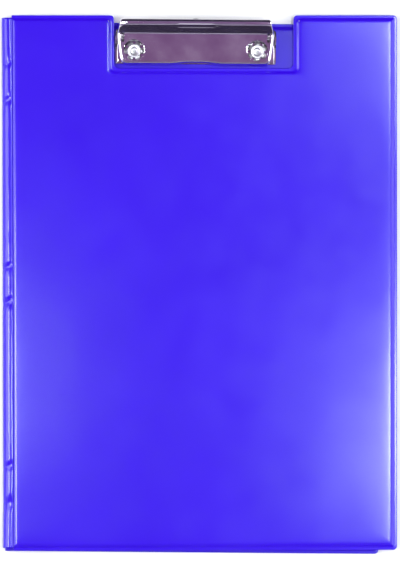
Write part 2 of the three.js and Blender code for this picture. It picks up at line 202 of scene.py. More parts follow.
# %% Floor
floor_mesh = bpy.data.meshes.new("floor")
FLOOR_HALF = 3  # metres
WHITE = (0.9, 0.9, 0.9, 1)
floor_corners = [(x * FLOOR_HALF, y * FLOOR_HALF, 0) for x, y in ((-1, -1), (1, -1), (1, 1), (-1, 1))]
floor_mesh.from_pydata(floor_corners, [], [(0, 1, 2, 3)])
floor = bpy.data.objects.new("floor", floor_mesh)
bpy.context.scene.collection.objects.link(floor)
floor_paint = bpy.data.materials.new("floor_white")
floor_paint.use_nodes = True
floor_shader = floor_paint.node_tree.nodes["Principled BSDF"]
floor_shader.inputs["Base Color"].default_value = WHITE
floor_shader.inputs["Roughness"].default_value = 0.9
floor_mesh.materials.append(floor_paint)
print("floor", 2 * FLOOR_HALF, "m square")


# %% Flags
CARD_DARK = (0.03, 0.018, 0.05)
CARD_STRIP = (0.80, 0.74, 0.90)
CARD_TOP = (0.16, 0.11, 0.20)
FRONT_CARD = (  # heights in metres, and the tone there
    (0.48, CARD_DARK),
    (0.54, CARD_STRIP),
    (0.66, CARD_STRIP),
    (0.72, CARD_DARK),
    (1.0, CARD_TOP),
)
REAR_CARD = ((0.95, CARD_DARK), (1.0, CARD_TOP))


def flag(name, side, tones):
    """A card that leans in over the board, its tones running up it. side is -1 for the front."""
    foot, head, half, low, tall = 1.3 * side, 0.46 * side, 1.1, 0.01, 1.5
    data = bpy.data.meshes.new(name)
    corners = [(-half, foot, low), (half, foot, low), (half, head, tall), (-half, head, tall)]
    data.from_pydata(corners, [], [(0, 1, 2, 3)])
    card = bpy.data.objects.new(name, data)
    bpy.context.scene.collection.objects.link(card)
    card.visible_camera = False
    paint = bpy.data.materials.new(name)
    paint.use_nodes = True
    tree = paint.node_tree
    where = tree.nodes.new("ShaderNodeTexCoord").outputs["Object"]
    height = tree.nodes.new("ShaderNodeSeparateXYZ")
    fade = tree.nodes.new("ShaderNodeValToRGB")
    tree.links.new(where, height.inputs[0])
    tree.links.new(height.outputs["Z"], fade.inputs["Fac"])
    tree.links.new(fade.outputs["Color"], tree.nodes["Principled BSDF"].inputs["Base Color"])
    set_stops(fade.color_ramp, tones)
    tree.nodes["Principled BSDF"].inputs["Roughness"].default_value = 1.0
    data.materials.append(paint)
    print(name, "with", len(tones), "tones")


flag("front_flag", -1, FRONT_CARD)
flag("rear_flag", 1, REAR_CARD)

# %% [markdown]
# ## Finishes
#
# Welded vinyl is a plastic with a fine satin grain: thousands of tiny pebbles, a colour that drifts a
# little, and a gloss that drifts more. Chrome is a mirror with a trace of polishing grain and handling
# haze. Each finish is built from noise on Object coordinates, so it stays put when the board moves.


# %% Node helpers
def new_finish(name):
    """A material with its principled shader and Object coordinates ready."""
    finish = bpy.data.materials.new(name)
    finish.use_nodes = True
    tree = finish.node_tree
    shader = tree.nodes["Principled BSDF"]
    where = tree.nodes.new("ShaderNodeTexCoord").outputs["Object"]
    return finish, tree, shader, where


def noise_node(tree, where, scale, detail=2.0, stretch=None):
    """Noise with scale in features per metre, stretched along an axis if asked."""
    if stretch is not None:
        mapping = tree.nodes.new("ShaderNodeMapping")
        mapping.inputs["Scale"].default_value = stretch
        tree.links.new(where, mapping.inputs["Vector"])
        where = mapping.outputs["Vector"]
    node = tree.nodes.new("ShaderNodeTexNoise")
    node.inputs["Scale"].default_value = scale
    node.inputs["Detail"].default_value = detail
    tree.links.new(where, node.inputs["Vector"])
    return node.outputs["Fac"]


def remap(tree, value, low, high, out_low, out_high):
    """value taken from low..high to out_low..out_high."""
    node = tree.nodes.new("ShaderNodeMapRange")
    limits = {"From Min": low, "From Max": high, "To Min": out_low, "To Max": out_high}
    for socket, number in limits.items():
        node.inputs[socket].default_value = number
    tree.links.new(value, node.inputs["Value"])
    return node.outputs["Result"]


def two_tone(tree, factor, dark, light):
    """A colour that runs from dark to light with factor."""
    node = tree.nodes.new("ShaderNodeMix")
    node.data_type = "RGBA"
    node.inputs["A"].default_value = (*dark, 1)
    node.inputs["B"].default_value = (*light, 1)
    tree.links.new(factor, node.inputs["Factor"])
    return node.outputs["Result"]


def bump(tree, shader, height, strength, distance):
    """Relief from a height, with its full depth in metres."""
    node = tree.nodes.new("ShaderNodeBump")
    node.inputs["Strength"].default_value = strength
    node.inputs["Distance"].default_value = distance
    tree.links.new(height, node.inputs["Height"])
    tree.links.new(node.outputs["Normal"], shader.inputs["Normal"])


# %% Vinyl
DRIFT, HAZE, PEBBLES = 14, 45, 2600  # features per metre of the colour, the gloss and the grain
PEBBLE_DEPTH = 0.00012


def vinyl(name, dark, light, gloss, grain):
    """Satin vinyl. gloss is about its roughness, and grain the strength of its pebbles."""
    finish, tree, shader, where = new_finish(name)
    drift = noise_node(tree, where, DRIFT, 3)
    colour = two_tone(tree, remap(tree, drift, 0.35, 0.65, 0, 1), dark, light)
    tree.links.new(colour, shader.inputs["Base Color"])
    haze = noise_node(tree, where, HAZE, 4)
    roughness = remap(tree, haze, 0.3, 0.7, gloss - 0.01, gloss + 0.02)
    tree.links.new(roughness, shader.inputs["Roughness"])
    shader.inputs["IOR"].default_value = 1.5
    pebble = noise_node(tree, where, PEBBLES, 2)
    bump(tree, shader, pebble, grain, PEBBLE_DEPTH)
    return finish


outer_vinyl = vinyl("blue_vinyl", (0.029, 0.0020, 0.635), (0.032, 0.0028, 0.665), 0.20, 0.10)
lining_vinyl = vinyl("blue_lining", (0.024, 0.002, 0.56), (0.028, 0.003, 0.60), 0.24, 0.12)
print("vinyls", outer_vinyl.name, lining_vinyl.name)


# %% Chrome and steel
HANDLING, POLISH = 70, 900  # features per metre of the haze and of the polishing grain
POLISH_DEPTH = 0.00005


def metal(name, dark, light, gloss, brushed):
    """Bright metal, its roughness from gloss up. brushed is the strength of the grain that runs along x."""
    finish, tree, shader, where = new_finish(name)
    haze = noise_node(tree, where, HANDLING, 4)
    colour = two_tone(tree, remap(tree, haze, 0.3, 0.7, 0, 1), dark, light)
    tree.links.new(colour, shader.inputs["Base Color"])
    shader.inputs["Metallic"].default_value = 1.0
    tree.links.new(remap(tree, haze, 0.3, 0.7, gloss, gloss + 0.05), shader.inputs["Roughness"])
    grain = noise_node(tree, where, POLISH, 2, stretch=(0.04, 1, 1))
    bump(tree, shader, grain, brushed, POLISH_DEPTH)
    return finish


chrome = metal("chrome_plate", (0.70, 0.67, 0.72), (0.80, 0.77, 0.82), 0.07, 0.06)
rivet_nickel = metal("rivet_nickel", (0.62, 0.60, 0.64), (0.74, 0.72, 0.76), 0.34, 0.05)
spring_steel = metal("spring_steel", (0.42, 0.42, 0.44), (0.52, 0.52, 0.54), 0.22, 0.2)
# The hanging eye's steel is coloured near black: painted shade, for the shade it sits in under the lever.
eye_steel_painted_shade = metal("eye_steel_painted_shade", (0.13, 0.13, 0.15), (0.19, 0.19, 0.21), 0.25, 0.2)
print("metals", ", ".join(m.name for m in (chrome, rivet_nickel, spring_steel, eye_steel_painted_shade)))


# %% Greyboard
def greyboard():
    """Rough pulp board, speckled with fibres."""
    finish, tree, shader, where = new_finish("greyboard")
    fibre = noise_node(tree, where, 500, 5)
    colour = two_tone(tree, fibre, (0.30, 0.28, 0.25), (0.45, 0.42, 0.38))
    tree.links.new(colour, shader.inputs["Base Color"])
    tree.links.new(remap(tree, fibre, 0, 1, 0.85, 0.98), shader.inputs["Roughness"])
    bump(tree, shader, fibre, 0.4, 0.0002)
    return finish


board_grey = greyboard()
print("board", board_grey.name)

# %% [markdown]
# ## A welded sheet
#
# A panel is a board between two sheets of vinyl, welded together all round. Seen from outside there is a
# thin flat rim with a cut edge, then a rounded shoulder where the sheet climbs over the board, then the
# broad face, which is never quite flat. Rings of points run round the outline, each set further in, and
# the face inside the last ring is filled with an even net of triangles, so it can carry the slow waves.


# %% Outlines
def counts_for(corners, step):
    """How many pieces each straight side is cut into."""
    sides = []
    for i, (x, y, _) in enumerate(corners):
        nx, ny, _ = corners[(i + 1) % len(corners)]
        sides.append(max(2, round(math.hypot(nx - x, ny - y) / step)))
    return sides


def ring(corners, counts, arc=8):
    """Points along an outline of [x, y, radius] corners, the same number for every inset."""
    points = []
    ends = []
    total = len(corners)
    for i, (x, y, radius) in enumerate(corners):
        here = Vector((x, y))
        back = (Vector(corners[i - 1][:2]) - here).normalized()
        on = (Vector(corners[(i + 1) % total][:2]) - here).normalized()
        ends.append((here, here + back * radius, here + on * radius))
    for i, (here, enter, leave) in enumerate(ends):
        for k in range(arc + 1):
            t = k / arc
            points.append((1 - t) ** 2 * enter + 2 * t * (1 - t) * here + t**2 * leave)
        nxt = ends[(i + 1) % total][1]
        for k in range(1, counts[i]):
            points.append(leave.lerp(nxt, k / counts[i]))
    return points


def inside(point, loop):
    """Whether a point lies inside a closed loop of points."""
    x, y = point
    hit = False
    for i, a in enumerate(loop):
        b = loop[i - 1]
        if (a.y > y) != (b.y > y) and x < (b.x - a.x) * (y - a.y) / (b.y - a.y) + a.x:
            hit = not hit
    return hit


def tree_of(points):
    """A search tree that finds the nearest of some points."""
    found = KDTree(len(points))
    for k, p in enumerate(points):
        found.insert((p.x, p.y, 0), k)
    found.balance()
    return found


def disc(x, y, radius, sides=32):
    """A round cut as a loop of points."""
    turns = [2 * math.pi * k / sides for k in range(sides)]
    return [Vector((x + radius * math.cos(t), y + radius * math.sin(t))) for t in turns]


def fill(border, net, cuts, room):
    """Triangles inside a border and round the cuts, through those points of a net that keep their room.

    Gives the points that follow the border's own, and triangles that count the border's points first.
    """
    points = list(border)
    edges = [(k, (k + 1) % len(border)) for k in range(len(border))]
    for cut in cuts:
        start = len(points)
        points += cut
        edges += [(start + k, start + (k + 1) % len(cut)) for k in range(len(cut))]
    lines = tree_of(points)
    for p in net:
        clear = lines.find((p.x, p.y, 0))[2] > room
        if clear and inside(p, border) and not any(inside(p, c) for c in cuts):
            points.append(p)
    made, _, triangles, original, _, _ = delaunay_2d_cdt(points, edges, [], 1, 1e-4)
    index = []
    extra = []
    for k, p in enumerate(made):
        source = original[k][0] if original[k] else len(points)
        if source < len(border):
            index.append(source)
        else:
            index.append(len(border) + len(extra))
            extra.append(p)
    faces = []
    for triangle in triangles:
        centre = sum((made[k] for k in triangle), Vector((0, 0))) / 3
        if not any(inside(centre, c) for c in cuts):
            faces.append(tuple(index[k] for k in triangle))
    return extra, faces


def even_net(loop, step):
    """A square net of points over a loop."""
    left, right = min(p.x for p in loop), max(p.x for p in loop)
    low, high = min(p.y for p in loop), max(p.y for p in loop)
    columns = range(1, int((right - left) / step))
    rows = range(1, int((high - low) / step))
    return [Vector((left + i * step, low + j * step)) for i in columns for j in rows]


def lace(rings, n):
    """Quads between rings of n points each, numbered one ring after another."""
    quads = []
    for r in range(rings - 1):
        for k in range(n):
            a, b = r * n + k, r * n + (k + 1) % n
            quads.append((a, b, b + n, a + n))
    return quads


# %% Sheet builder
VINYL_WALL = 0.35
SIDE_STEP = 5.0  # about how long the pieces of a straight side are
STILL, SWELL = 2.0, 20.0  # the margin that has no waves, and the width over which they grow


def wave(x, y, size, reach, seed):
    """Slow unevenness of a soft sheet, in millimetres."""
    return size * noise.noise(Vector((x / reach, y / reach, seed)))


def sheet(name, corners_at, profile, side, middle, finish, waves, cuts=(), net=7.0):
    """One vinyl sheet. profile is (inset, height above the mid plane) from the cut edge inwards."""
    counts = counts_for(corners_at(0), SIDE_STEP)

    def raised(p, inset, height):
        """Where a point of the outline or the middle lies, waves included."""
        fade = min(1.0, max(0.0, (inset - STILL) / SWELL))
        return (p.x, p.y, middle + side * (height + fade * sum(wave(p.x, p.y, *w) for w in waves)))

    vertices = []
    for inset, height in profile:
        border = ring(corners_at(inset), counts)
        vertices += [raised(p, inset, height) for p in border]
    near = tree_of(border)
    extra, inner_faces = fill(border, even_net(border, net), cuts, net * 0.55)
    start = len(vertices) - len(border)
    faces = lace(len(profile), len(border)) + [tuple(start + k for k in f) for f in inner_faces]
    vertices += [raised(p, inset + near.find((p.x, p.y, 0))[2], height) for p in extra]
    if side < 0:
        faces = [f[::-1] for f in faces]
    return make_piece(name, vertices, faces, finish, thickness=VINYL_WALL)


def make_piece(name, vertices, faces, finish, thickness=None):
    """A mesh piece from millimetres, smooth shaded, given a wall if asked."""
    data = bpy.data.meshes.new(name)
    data.from_pydata([tuple(c * MM for c in v) for v in vertices], [], faces)
    data.materials.append(finish)
    data.update()
    data.shade_smooth()
    made = bpy.data.objects.new(name, data)
    bpy.context.scene.collection.objects.link(made)
    if thickness is not None:
        wall = made.modifiers.new("wall", "SOLIDIFY")
        wall.thickness = thickness * MM
        wall.offset = -1
        wall.use_even_offset = True
    print(name, len(data.vertices), "points", len(data.polygons), "faces")
    return made


# %% [markdown]
# ## The four vinyl sheets
#
# The cover's outline has the notch that leaves the clip clear, and every sheet's left side runs right to
# its hinge line, where the spine takes over. One cross section does for all four sheets. Only the cover
# stretches it along its hinge, where the vinyl rolls off the board slowly into the crease.

# %% Panel outlines
CORNER = 3.0  # radius of the outer corners
TIGHT = 0.6  # radius of the corners at the hinges
FLOOR_CORNER = 4.0  # radius of the notch's inner corners
CREASE = 0.1  # from a hinge line to the panel's edge
EDGE = [  # (inset, height above the panel's mid plane)
    (0.0, 0.03),
    (0.0, 0.22),
    (0.12, 0.34),
    (0.5, 0.38),
    (1.4, 0.38),
    (2.0, 0.44),
    (2.5, 0.66),
    (2.9, 0.96),
    (3.3, 1.19),
    (3.8, 1.33),
    (4.5, 1.40),
    (5.5, 1.425),
    (7.5, 1.45),
    (10.0, 1.465),
    (14.0, 1.47),
]
CREASE_SIDE = (  # (inset elsewhere, inset along the cover's hinge)
    (0.0, 0.0),
    (2.0, 0.5),
    (2.9, 0.95),
    (3.3, 1.5),
    (3.8, 2.2),
    (4.5, 2.65),
    (5.5, 3.0),
)


def crease_side(inset):
    """On the crease side the shoulder starts at once, with no flat rim, and rolls over slowly."""
    for (a0, b0), (a1, b1) in zip(CREASE_SIDE, CREASE_SIDE[1:]):
        if inset <= a1:
            return b0 + (b1 - b0) * (inset - a0) / (a1 - a0)
    return CREASE_SIDE[-1][1] + inset - CREASE_SIDE[-1][0]


def cover_corners(inset):
    """Corners of the cover with its notch. The left side follows the hinge line."""
    lean = math.tan(LEAN - SKEW)
    left = COVER_HINGE[0] + CREASE + crease_side(inset)
    right, top, bottom = 125.2 - inset, 170.6 - inset, -168.5 + inset
    notch_left, notch_right, floor_y = -54.1 - inset, 59.5 + inset, 137.0 - inset
    outer = max(CORNER - inset, TIGHT)
    square = [
        (left - lean * bottom, bottom + lean * COVER_HINGE[0], TIGHT),
        (right, bottom + lean * right, outer),
        (right, top, outer),
        (notch_right, top, CORNER),
        (notch_right, floor_y, FLOOR_CORNER),
        (notch_left, floor_y, FLOOR_CORNER),
        (notch_left, top, CORNER),
        (left - lean * top, top, TIGHT),
    ]
    return [(*askew(x, y), radius) for x, y, radius in square]


def back_corners(inset):
    """Corners of the back, plain but for the lean of its hinge side."""
    outer = max(CORNER - inset, TIGHT)
    left, right = BACK_HINGE[0] + CREASE + inset, BACK_RIGHT - inset
    low, high = BACK_BOTTOM + inset, BACK_TOP - inset
    corners = [
        (left - math.tan(LEAN) * low, low, TIGHT),
        (right, low, outer),
        (right, high, outer),
        (left - math.tan(LEAN) * high, high, TIGHT),
    ]
    return [(*moved(x, y), radius) for x, y, radius in corners]


CLIP = moved(-3.6, 155.5)  # the clip's middle, on its pivot
RIVET_OUT = 39.0  # from the clip's middle to a rivet
RIVET_Y = -7.7  # from the pivot to the rivets
rivet_places = [(CLIP[0] + side * RIVET_OUT, CLIP[1] + RIVET_Y) for side in (-1, 1)]
print("rivets at", [[round(c, 2) for c in place] for place in rivet_places])

# %% Cover sheets
slow = ((0.16, 70.0, 3.1), (0.05, 24.0, 8.4))
cover_skin = sheet("cover_skin", cover_corners, EDGE, 1, COVER_MID, outer_vinyl, slow)
cover_inside = sheet("cover_inside", cover_corners, EDGE, -1, COVER_MID, lining_vinyl, ())
for made, node in ((cover_skin, "cover_outer_skin"), (cover_inside, "cover_lining")):
    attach(made, "cover")
    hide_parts(node)

# %% Back sheets
HEAD_HOLE = 5.0
SHANK_HOLE = 2.6
head_holes = [disc(x, y, HEAD_HOLE) for x, y in rivet_places]
shank_holes = [disc(x, y, SHANK_HOLE) for x, y in rivet_places]
back_skin = sheet("back_skin", back_corners, EDGE, -1, BACK_MID, outer_vinyl, (), cuts=head_holes)
back_inside = sheet("back_inside", back_corners, EDGE, 1, BACK_MID, lining_vinyl, (), cuts=shank_holes)
for made, node in ((back_skin, "back_outer_skin"), (back_inside, "back_lining")):
    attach(made, "back")
    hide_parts(node)

# %% [markdown]
# ## The spine
#
# The spine is a strip of doubled vinyl that arches between the two hinge lines. It is drawn as rows of
# points along the board, each row an arc. Years of folding have crinkled it: the belly swells and sinks
# slowly, it is fuller at both ends, and a few sharp creases pinch it where it has been bent most.

# %% Spine strip
SPINE_HALF = 168.0
WALL = 0.7  # two layers of vinyl
ROWS, ACROSS = 336, 20  # pieces along the strip and over its arch
BELLY, END_SWELL = 1.55, 0.75  # the arch's rise, and how much fuller its ends are
SLANT = 3.0  # how far a crease runs along the strip as it crosses it
TUCK, SINK = 0.25, 0.35  # how far the arch ends inside the cover's edge, across and down
CREASES = (  # (y, depth, half width)
    (138, 0.8, 2.2),
    (115, 1.2, 2.4),
    (9.5, 1.2, 2.2),
    (-13, 1.5, 2.6),
    (-117, 0.9, 2.4),
    (-141, 1.0, 4.0),
)


def belly(y):
    """How far the arch stands out from the line between its hinges."""
    ends = (abs(y) / SPINE_HALF) ** 5
    slow_swell = 0.22 * noise.noise(Vector((5.0, y / 45.0, 4.2)))
    return BELLY + END_SWELL * ends + slow_swell


def pinch(y, share):
    """How far creases press the strip in, slanting a little across it. share runs 0..1 over the arch."""
    drift = SLANT * (share - 0.35)
    return sum(deep * math.exp(-(((y - at - drift) / wide) ** 2)) for at, deep, wide in CREASES)


def spine_row(y):
    """Outer points of the arch at y, from the back's hinge line to the cover's."""
    start = Vector((hinge_x(BACK_HINGE, y), BACK_HINGE[1]))
    end = Vector((hinge_x(COVER_HINGE, y) + TUCK, COVER_HINGE[1] - SINK))
    chord = (end - start).length
    along = (end - start).normalized()
    outward = Vector((-along.y, along.x))
    rise = belly(y - SHIFT_Y)
    radius = chord**2 / (8 * rise) + rise / 2
    half = 2 * math.atan(2 * rise / chord)
    centre = (start + end) / 2 + outward * (rise - radius)
    row = []
    for k in range(ACROSS + 1):
        share = k / ACROSS
        angle = (2 * share - 1) * half
        spread = math.sin(math.pi * share) ** 0.7
        fine = 0.10 * spread * noise.noise(Vector((share * 3.0, y / 7.0, 1.7)))
        reach = radius + WALL / 2 + fine - spread * pinch(y - SHIFT_Y, share)
        row.append(centre + (along * math.sin(angle) + outward * math.cos(angle)) * reach)
    return row


vertices = []
for j in range(ROWS + 1):
    y = SHIFT_Y - SPINE_HALF + 2 * SPINE_HALF * j / ROWS
    vertices += [(p.x, y, p.y) for p in spine_row(y)]
faces = []
for j in range(ROWS):
    for k in range(ACROSS):
        a = j * (ACROSS + 1) + k
        faces.append((a, a + ACROSS + 1, a + ACROSS + 2, a + 1))
spine_strip = make_piece("spine_strip", vertices, faces, outer_vinyl, thickness=WALL)
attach(spine_strip, "spine")
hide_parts("spine_skin", "spine_lining")
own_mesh(spine_strip)

# %% [markdown]
# ## The jaw and its lever
#
# Jaw plate, gripping lip, end flanges and thumb lever are one sheet of steel, bent in a press and then
# plated. A block with a bevel would look like plastic; a pressing needs an even wall and bends with a real
# radius, because chrome draws every bend as a band. So the sheet is modelled once as a surface, its margin
# is turned down through a quarter round, and Solidify gives it the thickness of the steel. The side view
# is a chain of arcs and straights: the plate, a steep climb, a crest, a short rest for the thumb, and a
# far edge that is rolled over, which chrome draws as a dark line.

# %% Jaw outline and side view
STEEL = 0.8
PIVOT_Z = 7.3
PLATE_SLOPE = math.radians(8)
LEVER_SLOPE = math.radians(46.5)
CREST_SLOPE = math.radians(15)
PLATE_HEIGHT, PLATE_AT = 11.9, 2.2  # the plate's upper face at this y behind the pivot
LEVER_START = 1.8  # y behind the pivot where the plate starts to climb
ROOT_RADIUS = 2.4
LEVER_FLAT = 6.05  # the climb's straight part, along its slope
CREST_RADIUS = 1.6
REST_LENGTH = 0.9  # the thumb rest's straight part, seen from above
ROLL_RADIUS = 1.2
ROLL_SLOPE = math.radians(-32)
LEVER_SKIRT = 1.1  # depth of the turned-down margin along the lever
JAW_FOOT = (  # (y, height of the margin's lower edge)
    (-16.8, 4.1),
    (-13.4, 4.1),
    (-12.4, 5.7),
    (-3.5, 4.7),
    (2.0, 4.6),
    (3.4, 10.8),
)
DISH = 0.38  # depth of the thumb dish
LEFT_DROOP, RIGHT_DROOP = 0.9, 0.1  # how far the lever's ends hang down


def plate_top(y):
    """Height of the plate's upper face."""
    return PLATE_HEIGHT + (y - PLATE_AT) * math.tan(PLATE_SLOPE)


def lever_top(y):
    """Height of the upper face at y behind the pivot: plate, root, climb, crest, rest and rolled edge."""
    if y <= LEVER_START:
        return plate_top(y)
    low, steep = math.sin(PLATE_SLOPE), math.sin(LEVER_SLOPE)
    root_end = LEVER_START + ROOT_RADIUS * (steep - low)
    height = plate_top(LEVER_START)
    if y <= root_end:
        angle = math.asin(low + (y - LEVER_START) / ROOT_RADIUS)
        return height + ROOT_RADIUS * (math.cos(PLATE_SLOPE) - math.cos(angle))
    height += ROOT_RADIUS * (math.cos(PLATE_SLOPE) - math.cos(LEVER_SLOPE))
    climb_end = root_end + LEVER_FLAT * math.cos(LEVER_SLOPE)
    if y <= climb_end:
        return height + (y - root_end) * math.tan(LEVER_SLOPE)
    height += LEVER_FLAT * math.sin(LEVER_SLOPE)
    crest_end = climb_end + CREST_RADIUS * (steep - math.sin(CREST_SLOPE))
    if y <= crest_end:
        angle = math.asin(steep - (y - climb_end) / CREST_RADIUS)
        return height + CREST_RADIUS * (math.cos(angle) - math.cos(LEVER_SLOPE))
    height += CREST_RADIUS * (math.cos(CREST_SLOPE) - math.cos(LEVER_SLOPE))
    rest_end = crest_end + REST_LENGTH
    if y <= rest_end:
        return height + (y - crest_end) * math.tan(CREST_SLOPE)
    height += REST_LENGTH * math.tan(CREST_SLOPE)
    roll_end = rest_end + ROLL_RADIUS * (math.sin(CREST_SLOPE) - math.sin(ROLL_SLOPE))
    if y <= roll_end:
        angle = math.asin(math.sin(CREST_SLOPE) - (y - rest_end) / ROLL_RADIUS)
        return height + ROLL_RADIUS * (math.cos(angle) - math.cos(CREST_SLOPE))
    height += ROLL_RADIUS * (math.cos(ROLL_SLOPE) - math.cos(CREST_SLOPE))
    return height + (y - roll_end) * math.tan(ROLL_SLOPE)


def ease(value, low, high):
    """0 below low, 1 above high, and a smooth step between."""
    t = min(1.0, max(0.0, (value - low) / (high - low)))
    return t * t * (3 - 2 * t)


def jaw_top(x, y):
    """Upper face of the pressing: the side view, a shallow thumb dish and drooping lever ends."""
    within = 1 - ease(abs(x) + 0.9 * (y - 7.0), 11.5, 15.0)
    dish = DISH * within * ease(y, 5.2, 7.0) * (1 - ease(y, 7.6, 8.9))
    droop = (LEFT_DROOP if x < 0 else RIGHT_DROOP) * ease(abs(x), 43.6, 47.5) * ease(y, 5.0, 9.0)
    return lever_top(y) - dish - droop


def jaw_foot(x, y):
    """Lower edge of the turned-down margin."""
    if y > JAW_FOOT[-1][0]:
        return jaw_top(x, y) - LEVER_SKIRT
    for (y0, z0), (y1, z1) in zip(JAW_FOOT, JAW_FOOT[1:]):
        if y <= y1:
            return z0 + (z1 - z0) * (y - y0) / (y1 - y0)
    return JAW_FOOT[-1][1]


def jaw_corners(inset):
    """Corners of the jaw from above, about the clip's middle and the pivot."""
    low, high = -16.2 + inset, 11.3 - inset
    half, front, lever = 49.3 - inset, 47.2 - inset, 46.8 - inset
    scallop = low + 1.0  # the lip stands back a little in the middle
    right = [
        (5.7, scallop, 1.6),
        (16.1, low, 1.6),
        (front, low, 4.0 - 0.8 * inset),
        (half, -2.0, 2.0),
        (half, 3.3, 2.0),
        (lever, high, 0.9),
    ]
    left = [(-x, y, radius) for x, y, radius in reversed(right)]
    return left[-3:] + right + left[:-3]


samples = [0.1 * k for k in range(123)]
print("lever crest", round(max(jaw_top(20, y) for y in samples), 2), "mm above the table")


# %% Pressing builder
def even_shading(made):
    """Let broad faces keep their own shading right up to their cut edges."""
    weighted = made.modifiers.new("shading", "WEIGHTED_NORMAL")
    weighted.weight = 80
    weighted.keep_sharp = True


PRESS_STEP = 1.6  # about how long the pieces of a pressing's side are
NET_ROOM = 0.5  # least distance from the net's points to an edge
SKIRT_SHARES = (0.0, 0.3, 0.6, 0.85)  # rings up the margin, from its foot to the bend
BEND_STEPS = 7
RIM_STEPS = 4  # rings from the bend to where the net starts


def pressing(name, corners_at, bend_at, reach, top_at, foot_at, net, cuts, finish, turn=1):
    """A sheet steel pressing about the clip's middle, its margin turned down (1) or up (-1) round a bend.

    bend_at gives the bend's radius, and reach is how far in from the edge the rings end.
    """
    counts = counts_for(corners_at(0), PRESS_STEP)
    outer = ring(corners_at(0), counts)
    border = ring(corners_at(reach), counts)
    vertices = []
    foots = [foot_at(*p) for p in outer]
    bends = [min(bend_at(*p), turn * (top_at(*p) - foot)) for p, foot in zip(outer, foots)]
    for share in SKIRT_SHARES:
        for p, foot, r in zip(outer, foots, bends):
            vertices.append((p.x, p.y, foot + (top_at(*p) - turn * r - foot) * share))
    for k in range(BEND_STEPS + 1):
        swung = math.pi / 2 * k / BEND_STEPS
        for p, q, r in zip(outer, border, bends):
            here = p.lerp(q, r * (1 - math.cos(swung)) / reach)
            vertices.append((here.x, here.y, top_at(*here) - turn * r * (1 - math.sin(swung))))
    for k in range(1, RIM_STEPS + 1):
        for p, q, r in zip(outer, border, bends):
            here = p.lerp(q, r / reach + (1 - r / reach) * k / RIM_STEPS)
            vertices.append((here.x, here.y, top_at(*here)))
    rings = len(SKIRT_SHARES) + BEND_STEPS + 1 + RIM_STEPS
    extra, inner_faces = fill(border, net, cuts, NET_ROOM)
    start = len(vertices) - len(border)
    faces = lace(rings, len(border)) + [tuple(start + k for k in f) for f in inner_faces]
    vertices += [(p.x, p.y, top_at(*p)) for p in extra]
    placed = [(x + CLIP[0], y + CLIP[1], z) for x, y, z in vertices]
    made = make_piece(name, placed, faces, finish, thickness=STEEL)
    soft = made.modifiers.new("edge", "BEVEL")
    soft.width = 0.14 * MM
    soft.segments = 2
    soft.limit_method = "ANGLE"
    soft.angle_limit = math.radians(50)
    even_shading(made)
    return made


def slot(x, y, half_length, radius):
    """A slot along y with round ends, as a loop of points."""
    turns = [math.pi * k / 8 for k in range(9)]
    top = y + half_length
    loop = [Vector((x + radius * math.cos(t), top + radius * math.sin(t))) for t in turns]
    return loop + [Vector((2 * x - p.x, 2 * y - p.y)) for p in loop]


# %% Jaw
def jaw_bend(x, y):
    """Radius of the turned-down margin: full round the plate, small along the lever's edge."""
    return 1.3 - 0.9 * ease(y, 6.0, 9.0)


rows = [-14.0 + 1.7 * k for k in range(10)] + [2.4 + 0.35 * k for k in range(26)]
jaw_net = [Vector((-48 + 1.5 * i, y)) for i in range(65) for y in rows]
ACCESS_HOLE = 6.5
jaw_cuts = [disc(side * RIVET_OUT, RIVET_Y, ACCESS_HOLE, 56) for side in (-1, 1)]
jaw_cuts += [slot(side * 46.0, 0.2, 2.1, 0.9) for side in (-1, 1)]
jaw_plate = pressing(
    "jaw_plate", jaw_corners, jaw_bend, 1.7, jaw_top, jaw_foot, jaw_net, jaw_cuts, chrome
)
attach(jaw_plate, "jaw")
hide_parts("clip_jaw")

# %% [markdown]
# ## The base plate
#
# The base is a second pressing, with its ends turned up as ears that carry the rod. A channel is cut into
# its floor from the rear, where the hanging eye slides, and two bridges hold the eye down.

# %% Base plate
BASE_TOP = 3.75
EAR_AT = 45.3  # the ears' inner faces, from the clip's middle
EAR = (  # (y, height of the ear's upper edge)
    (-15.2, 4.3),
    (-14.2, 5.6),
    (-6.2, 6.2),
    (-3.6, 9.3),
    (-1.6, 10.3),
    (1.4, 10.3),
    (3.4, 9.2),
    (6.0, 6.7),
    (9.0, 6.2),
)


def base_top(x, y):
    """The floor of the base is flat."""
    return BASE_TOP


def base_bend(x, y):
    """Radius of the bend up into the ears."""
    return 0.8


def ear_top(x, y):
    """Upper edge of the ears, and almost nothing along the front and the rear."""
    if abs(x) < EAR_AT or y < EAR[0][0]:
        return BASE_TOP + 0.12
    for (y0, z0), (y1, z1) in zip(EAR, EAR[1:]):
        if y <= y1:
            return z0 + (z1 - z0) * ease(y, y0, y1)
    return EAR[-1][1]


def base_corners(inset):
    """Inner face of the base from above, with the eye's channel cut in from the rear."""
    half, rear_half = 50.0 - inset, 45.4 - inset
    front, shoulder, rear = -15.0 + inset, 4.0, 8.8 - inset
    neck, wide, neck_end, channel_end = 5.9 + inset, 7.6 + inset, 4.3 + inset, -9.4 - inset
    right = [(half, front), (half, shoulder), (rear_half, rear), (neck, rear), (neck, neck_end)]
    right += [(wide, neck_end), (wide, channel_end)]
    loop = right + [(-x, y) for x, y in reversed(right)]
    return [(x, y, 0.6) for x, y in loop]


base_net = [Vector((-48 + 4.0 * i, -15 + 3.0 * j)) for i in range(25) for j in range(9)]
base_cuts = [disc(side * RIVET_OUT, RIVET_Y, SHANK_HOLE) for side in (-1, 1)]
base_plate = pressing(
    "base_plate", base_corners, base_bend, 1.2, base_top, ear_top, base_net, base_cuts, chrome, turn=-1
)
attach(base_plate, "back")
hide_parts("clip_base")

